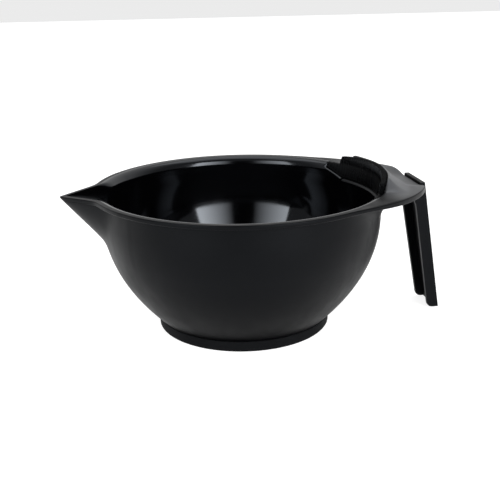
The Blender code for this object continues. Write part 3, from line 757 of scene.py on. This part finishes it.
def handle_rings(s):
    """Rings of the handle: its side view carried across, the web alone between two flanges."""
    flange = handle_section(s, s.handle_depth, s.handle_corner, 7.0)
    web = handle_section(s, s.handle_wall, 0.3, 1.2)
    rings = []
    for side, section, wall in ((-1, flange, 0.0), (-1, flange, 0.5), (-1, flange, s.handle_wall),
                                (-1, web, s.handle_wall), (0, web, 0.0), (1, web, s.handle_wall),
                                (1, flange, s.handle_wall), (1, flange, 0.5), (1, flange, 0.0)):
        part = (section[:, 1] - s.handle_lift) / (s.handle_z - s.handle_lift)
        half = (s.handle_foot + (s.handle_top - s.handle_foot) * part) / 2.0
        across = side * (half - wall)
        rings.append(np.stack([section[:, 0], across, section[:, 1]], -1))
    return np.array(rings)


# ---------------------------------------------------------------- rubber foot
def foot_profile(s):
    """Section of the rubber foot: socket, rounded rim and a grooved sole, from the axis out."""
    socket = s.spigot_radius - s.spigot_wall - s.gap
    points = [(4.0, s.recess_z - s.gap), (socket - 0.3, s.recess_z - s.gap)]
    points += [(socket, s.recess_z - s.gap - 0.3), (socket, s.foot_sole + 0.1)]
    points += [(s.spigot_radius + s.gap, s.foot_sole + 0.1), (s.spigot_radius + s.gap, s.foot_height)]
    for t in np.radians(np.linspace(90.0, 0.0, 6)):
        points.append((s.foot_radius - 0.6 + 0.6 * math.cos(t), s.foot_height - 0.6 + 0.6 * math.sin(t)))
    points += [(s.foot_radius, 3.4), (s.foot_radius, 1.6)]
    for t in np.radians(np.linspace(0.0, -90.0, 6)):
        points.append((s.foot_radius - 0.7 + 0.7 * math.cos(t), 0.7 + 0.7 * math.sin(t)))
    for radius in np.arange(s.foot_radius - 4.0, 8.0, -4.0):
        points += [(radius, 0.0), (radius - 0.3, 0.5), (radius - 1.1, 0.5), (radius - 1.4, 0.0)]
    points.append((4.0, 0.0))
    return points


# ---------------------------------------------------------------- materials
class Nodes:
    """Short names for building one node tree."""

    def __init__(self, tree):
        self.tree = tree
        self.tree.nodes.clear()

    def add(self, kind, **inputs):
        """New node, its inputs set or linked by name; words before set its own properties."""
        node = self.tree.nodes.new(kind)
        for key, value in inputs.items():
            socket = node.inputs[key.replace("_", " ")] if key.replace("_", " ") in node.inputs else None
            if socket is None:
                setattr(node, key, value)
            elif isinstance(value, bpy.types.NodeSocket):
                self.tree.links.new(value, socket)
            else:
                socket.default_value = value
        return node

    def noise(self, scale, detail=3.0, roughness=0.55, stretch=(1.0, 1.0, 1.0)):
        """Noise over the object's own coordinates, in cells per metre."""
        place = self.add("ShaderNodeTexCoord")
        spread = self.add("ShaderNodeMapping", Vector=place.outputs["Object"])
        spread.inputs["Scale"].default_value = stretch
        node = self.add("ShaderNodeTexNoise", Vector=spread.outputs["Vector"], Scale=scale,
                        Detail=detail, Roughness=roughness)
        return node.outputs["Fac"]

    def ranged(self, value, low, high, start=0.35, end=0.65):
        """Value moved from the range start to end into the range low to high."""
        node = self.add("ShaderNodeMapRange", Value=value)
        for key, number in (("From Min", start), ("From Max", end), ("To Min", low), ("To Max", high)):
            node.inputs[key].default_value = number
        return node.outputs["Result"]

    def math(self, operation, first, second):
        """One sum of two values."""
        node = self.add("ShaderNodeMath")
        node.operation = operation
        for socket, value in zip(node.inputs, (first, second)):
            if isinstance(value, bpy.types.NodeSocket):
                self.tree.links.new(value, socket)
            else:
                socket.default_value = value
        return node.outputs["Value"]

    def tint(self, value, dark, light):
        """Colour between two by a value."""
        node = self.add("ShaderNodeMix", data_type="RGBA")
        self.tree.links.new(value, node.inputs["Factor"])
        node.inputs[6].default_value = (*dark, 1.0)
        node.inputs[7].default_value = (*light, 1.0)
        return node.outputs[2]


def plastic(name, pigment, rough_low, rough_high, level, grain, depth, polish=None):
    """Moulded plastic with a fine grain, faint cloudy wear and handling marks.

    polish gives the roughness and reflection of the places whose own
    attribute says polished, and the colour of brush wear, which is lighter
    than wear alone and so is partly a painted sheen.
    """
    material = bpy.data.materials.new(name)
    material.use_nodes = True
    make = Nodes(material.node_tree)
    fine = make.noise(1000.0 / grain, detail=2.0)
    cloud = make.noise(38.0, detail=4.0, roughness=0.6)
    marks = make.noise(160.0, detail=2.0, stretch=(1.0, 1.0, 0.25))
    rough = make.ranged(cloud, rough_low, rough_high)
    rough = make.math("ADD", rough, make.ranged(marks, -0.02, 0.03))
    bump_height = fine
    if polish is not None:
        made = make.add("ShaderNodeAttribute", attribute_name="polish")
        shine = made.outputs["Fac"]
        soft = make.ranged(cloud, polish[0] - 0.02, polish[0] + 0.03)
        mixed = make.add("ShaderNodeMix", data_type="FLOAT")
        for socket, value in ((mixed.inputs["Factor"], shine), (mixed.inputs["A"], rough),
                              (mixed.inputs["B"], soft)):
            make.tree.links.new(value, socket)
        rough = mixed.outputs["Result"]
        calm = make.math("SUBTRACT", 1.0, make.math("MULTIPLY", shine, 0.9))
        bump_height = make.math("MULTIPLY", fine, calm)
        height = make.add("ShaderNodeSeparateXYZ",
                          Vector=make.add("ShaderNodeTexCoord").outputs["Object"]).outputs["Z"]
        dull = make.math("MULTIPLY", make.ranged(height, 0.05, 1.05, 0.0, DULL_HEIGHT), level)
        level = make.math("ADD", dull, make.math("MULTIPLY", shine, polish[1] - level))
        # mask of brush wear and painted sheen on the shelf and ramp
        rubbed_and_sheen = make.add("ShaderNodeAttribute", attribute_name="worn_and_painted_sheen").outputs["Fac"]
        rough = make.math("ADD", rough, make.math("MULTIPLY", rubbed_and_sheen, 0.06))
        level = make.math("ADD", level, make.math("MULTIPLY", rubbed_and_sheen, 0.75))
    bump = make.add("ShaderNodeBump", Height=bump_height, Strength=0.35, Distance=depth * MM)
    lighter = tuple(c * 1.5 for c in pigment)
    colour = make.tint(cloud, tuple(pigment), lighter)
    if polish is not None:
        # the colour fades towards the wear colour here: brush wear plus a painted sheen
        scuffs_and_sheen = make.math("MULTIPLY", rubbed_and_sheen, make.ranged(marks, 0.75, 1.1))
        faded_and_sheen = make.add("ShaderNodeMix", data_type="RGBA")
        make.tree.links.new(scuffs_and_sheen, faded_and_sheen.inputs["Factor"])
        make.tree.links.new(colour, faded_and_sheen.inputs[6])
        faded_and_sheen.inputs[7].default_value = (*polish[2], 1.0)
        colour = faded_and_sheen.outputs[2]
    shader = make.add("ShaderNodeBsdfPrincipled", Base_Color=colour, Roughness=rough,
                      Normal=bump.outputs["Normal"], IOR=1.49, Specular_IOR_Level=level,
                      Specular_Tint=COOL)
    out = make.add("ShaderNodeOutputMaterial")
    make.tree.links.new(shader.outputs["BSDF"], out.inputs["Surface"])
    material.diffuse_color = (*pigment, 1.0)
    return material


def rubber_material(pigment, roughness, level):
    """Dull rubber with a fine bloom and dusty specks."""
    material = bpy.data.materials.new("soft_rubber")
    material.use_nodes = True
    make = Nodes(material.node_tree)
    bloom = make.noise(90.0, detail=5.0, roughness=0.65)
    speck = make.noise(1900.0, detail=2.0)
    bump = make.add("ShaderNodeBump", Height=speck, Strength=0.4, Distance=0.03 * MM)
    lighter = tuple(c * 1.8 for c in pigment)
    shader = make.add("ShaderNodeBsdfPrincipled", Base_Color=make.tint(bloom, tuple(pigment), lighter),
                      Roughness=make.ranged(bloom, roughness - 0.06, roughness + 0.06),
                      Normal=bump.outputs["Normal"], IOR=1.5)
    shader.inputs["Specular IOR Level"].default_value = level
    shader.inputs["Specular Tint"].default_value = COOL
    out = make.add("ShaderNodeOutputMaterial")
    make.tree.links.new(shader.outputs["BSDF"], out.inputs["Surface"])
    return material


def glow(name, strength, start, end):
    """Light panel that is bright at one side and fades towards the other along its own X."""
    material = bpy.data.materials.new(name)
    material.use_nodes = True
    make = Nodes(material.node_tree)
    place = make.add("ShaderNodeTexCoord")
    split = make.add("ShaderNodeSeparateXYZ", Vector=place.outputs["Object"])
    power = make.ranged(split.outputs["X"], strength, strength * 0.02, start, end)
    shader = make.add("ShaderNodeEmission", Strength=power)
    out = make.add("ShaderNodeOutputMaterial")
    make.tree.links.new(shader.outputs["Emission"], out.inputs["Surface"])
    return material


# ---------------------------------------------------------------- operators
class COLOURBOWL_OT_bowl(bpy.types.Operator):
    """Make the bowl: wall, floor, rim, pouring lip, shelf and brush ramp in one moulding"""
    bl_idname = "colour_bowl.bowl"
    bl_label = "Bowl"

    def execute(self, context):
        s = settings()
        finish = context.scene.colour_bowl_finish
        surface = BowlSurface(s, finish.columns)
        mesh = rings_mesh("bowl", surface.rings, (0.0, 0.0, s.floor), (0.0, 0.0, s.recess_z))
        point_values(mesh, "polish", np.append(surface.polish, [1.0, 0.0]))
        # mask of brush wear and painted sheen on the shelf and ramp
        point_values(mesh, "worn_and_painted_sheen", np.append(surface.worn_and_painted_sheen, [0.0, 0.0]))
        material = plastic("satin_black_plastic", finish.shell, finish.satin - 0.04,
                           finish.satin + 0.05, finish.sheen_level, finish.grain / MM, 0.012,
                           (finish.polish, finish.polish_level, finish.worn_and_painted_sheen))
        add_piece(mesh, material, "bowl_shell")
        return {"FINISHED"}


class COLOURBOWL_OT_comb(bpy.types.Operator):
    """Make the comb that wipes the brush, clipped inside the rim at the handle"""
    bl_idname = "colour_bowl.comb"
    bl_label = "Comb"

    def execute(self, context):
        finish = context.scene.colour_bowl_finish
        rings, polish = comb_rings(settings())
        mesh = rings_mesh("comb", rings)
        point_values(mesh, "polish", polish)
        material = plastic("gloss_black_plastic", finish.comb, finish.satin, finish.satin + 0.08,
                           finish.comb_level * 0.1, finish.grain / MM, 0.006,
                           (finish.comb_gloss, finish.comb_level, finish.worn_and_painted_sheen))
        add_piece(mesh, material, "brush_comb", 34.0)
        return {"FINISHED"}


class COLOURBOWL_OT_handle(bpy.types.Operator):
    """Make the drop handle, a leaning channel with a plate under the shelf"""
    bl_idname = "colour_bowl.handle"
    bl_label = "Handle"

    def execute(self, context):
        finish = context.scene.colour_bowl_finish
        mesh = rings_mesh("drop_handle", handle_rings(settings()))
        material = plastic("satin_handle_plastic", finish.handle, finish.satin - 0.02,
                           finish.satin + 0.06, finish.sheen_level, finish.grain / MM, 0.012)
        piece = add_piece(mesh, material, "handle", 40.0)
        weld = piece.modifiers.new("join the web to the flanges", "WELD")
        weld.merge_threshold = 0.00001
        bevel = piece.modifiers.new("soft moulded edges", "BEVEL")
        bevel.width = 0.00042
        bevel.segments = 3
        bevel.limit_method = "ANGLE"
        bevel.angle_limit = math.radians(50.0)
        bevel.harden_normals = True
        return {"FINISHED"}


class COLOURBOWL_OT_foot(bpy.types.Operator):
    """Make the rubber foot with its grooved sole"""
    bl_idname = "colour_bowl.foot"
    bl_label = "Rubber Foot"

    def execute(self, context):
        s = settings()
        finish = context.scene.colour_bowl_finish
        rings = turned_rings(foot_profile(s), 192)
        mesh = rings_mesh("rubber_base", rings, (0.0, 0.0, s.recess_z - s.gap), (0.0, 0.0, 0.0))
        material = rubber_material(finish.rubber, finish.rubber_matt, finish.rubber_level)
        add_piece(mesh, material, "rubber_foot")
        return {"FINISHED"}


def panel_light(name, azimuth, bottom, width, strength, side, distance=LIGHT_DISTANCE):
    """Upright light panel that faces the bowl from an azimuth in degrees, lengths in mm.

    It fades from its end on its own -X, side 1, or +X, side -1, to the other end.
    """
    mesh = bpy.data.meshes.new(name)
    half = width / 2.0
    corners = np.array([(-half, 0, 0), (half, 0, 0), (half, LIGHT_HEIGHT, 0),
                        (-half, LIGHT_HEIGHT, 0)]) * MM
    mesh.from_pydata(corners.tolist(), [], [(0, 1, 2, 3)])
    mesh.materials.append(glow(name + "_glow", strength, -0.9 * half * side * MM, half * side * MM))
    panel = bpy.data.objects.new(name, mesh)
    bpy.context.scene.collection.objects.link(panel)
    away = math.radians(azimuth)
    outward = Vector((math.cos(away), math.sin(away), 0.0))
    across = Vector((0, 0, 1)).cross(-outward)
    frame = Matrix((across, Vector((0, 0, 1)), -outward)).transposed().to_4x4()
    place = outward * distance * MM + Vector((0, 0, bottom * MM))
    panel.matrix_world = Matrix.Translation(place) @ frame
    return panel


def area_light(name, place, target, width, height, power):
    """Soft rectangular light at a place in mm, turned towards a target."""
    lamp = bpy.data.lights.new(name, "AREA")
    lamp.shape = "RECTANGLE"
    lamp.size = width * MM
    lamp.size_y = height * MM
    lamp.energy = power
    obj = bpy.data.objects.new(name, lamp)
    bpy.context.scene.collection.objects.link(obj)
    obj.location = Vector(place) * MM
    obj.rotation_euler = (Vector(target) * MM - obj.location).to_track_quat("-Z", "Y").to_euler()
    return obj


class COLOURBOWL_OT_stage(bpy.types.Operator):
    """Make the pale floor, the studio lights, the backdrop and the camera"""
    bl_idname = "colour_bowl.stage"
    bl_label = "Studio Stage"

    def execute(self, context):
        scene = context.scene
        stage = scene.colour_bowl_stage
        self.floor(stage)
        self.world(scene, stage)
        panel_light("right_front_light", -71.0, 40.0, 530.0, stage.key * 1.2, 1)
        panel_light("left_front_light", -129.0, 40.0, 510.0, stage.key * 0.85, -1)
        panel_light("dark_card", -100.5, 0.0, 420.0, 0.0, 1, DARK_CARD_DISTANCE)
        area_light("overhead_light", (0.0, 150.0, 900.0), (0.0, 0.0, 30.0), 900.0, 700.0, stage.top)
        self.camera(scene, stage)
        scene.view_settings.view_transform = "Standard"
        scene.view_settings.look = "None"
        return {"FINISHED"}

    def floor(self, stage):
        """Wide pale floor with a barely visible grain."""
        mesh = bpy.data.meshes.new("studio_floor")
        wide = 4.0
        mesh.from_pydata([(-wide, -wide, 0), (wide, -wide, 0), (wide, wide, 0), (-wide, wide, 0)], [],
                         [(0, 1, 2, 3)])
        material = bpy.data.materials.new("studio_floor_paint")
        material.use_nodes = True
        make = Nodes(material.node_tree)
        paper = make.noise(14.0, detail=3.0)
        shade = tuple(c * 0.985 for c in stage.floor)
        shader = make.add("ShaderNodeBsdfPrincipled", Roughness=0.9,
                          Base_Color=make.tint(paper, shade, tuple(stage.floor)))
        shader.inputs["Specular IOR Level"].default_value = 0.1
        shader.inputs["Emission Color"].default_value = (1.0, 1.0, 1.0, 1.0)
        shader.inputs["Emission Strength"].default_value = stage.floor_glow
        out = make.add("ShaderNodeOutputMaterial")
        make.tree.links.new(shader.outputs["BSDF"], out.inputs["Surface"])
        mesh.materials.append(material)
        floor = bpy.data.objects.new("studio_floor", mesh)
        bpy.context.scene.collection.objects.link(floor)

    def world(self, scene, stage):
        """Bright backdrop behind the bowl and a dim room in front of it."""
        world = bpy.data.worlds.new("studio")
        scene.world = world
        world.use_nodes = True
        make = Nodes(world.node_tree)
        place = make.add("ShaderNodeTexCoord")
        split = make.add("ShaderNodeSeparateXYZ", Vector=place.outputs["Generated"])
        power = make.ranged(split.outputs["Y"], stage.front, stage.backdrop, -0.25, 0.35)
        back = make.add("ShaderNodeBackground", Strength=power)
        out = make.add("ShaderNodeOutputWorld")
        make.tree.links.new(back.outputs["Background"], out.inputs["Surface"])

    def camera(self, scene, stage):
        """Camera a little above the rim, to the left of the handle's side view."""
        data = bpy.data.cameras.new("camera")
        data.lens = stage.lens
        data.sensor_width = 36.0
        camera = bpy.data.objects.new("camera", data)
        scene.collection.objects.link(camera)
        forward = CAMERA_FORWARD.normalized()
        level = forward.cross(Vector((0.0, 0.0, 1.0))).normalized()
        upright = level.cross(forward)
        right = math.cos(CAMERA_ROLL) * level + math.sin(CAMERA_ROLL) * upright
        up = math.cos(CAMERA_ROLL) * upright - math.sin(CAMERA_ROLL) * level
        turned = Matrix((right, up, -forward)).transposed().to_4x4()
        camera.matrix_world = Matrix.Translation(CAMERA_PLACE * MM) @ turned
        scene.camera = camera


class COLOURBOWL_PT_panel(bpy.types.Panel):
    """Sidebar panel with one button per piece"""
    bl_idname = "COLOURBOWL_PT_panel"
    bl_label = "Colour Bowl"
    bl_space_type = "VIEW_3D"
    bl_region_type = "UI"
    bl_category = "Colour Bowl"

    def draw(self, context):
        """One button for each operator."""
        for kind in OPERATORS:
            self.layout.operator(kind.bl_idname)


GROUPS = {
    "colour_bowl_sizes": ColourBowlSizes,
    "colour_bowl_finish": ColourBowlFinish,
    "colour_bowl_stage": ColourBowlStage,
}
OPERATORS = (COLOURBOWL_OT_bowl, COLOURBOWL_OT_comb, COLOURBOWL_OT_handle, COLOURBOWL_OT_foot,
             COLOURBOWL_OT_stage)


def register():
    """Register the settings, the operators and the panel."""
    for key, group in GROUPS.items():
        bpy.utils.register_class(group)
        setattr(bpy.types.Scene, key, PointerProperty(type=group))
    for kind in (*OPERATORS, COLOURBOWL_PT_panel):
        bpy.utils.register_class(kind)


def unregister():
    """Take the panel, the operators and the settings out again."""
    for kind in (COLOURBOWL_PT_panel, *reversed(OPERATORS)):
        bpy.utils.unregister_class(kind)
    for key, group in reversed(GROUPS.items()):
        delattr(bpy.types.Scene, key)
        bpy.utils.unregister_class(group)


def main():
    """Make every piece and the stage."""
    register()
    bpy.ops.colour_bowl.bowl()
    bpy.ops.colour_bowl.comb()
    bpy.ops.colour_bowl.handle()
    bpy.ops.colour_bowl.foot()
    bpy.ops.colour_bowl.stage()


if __name__ == "__main__":
    main()
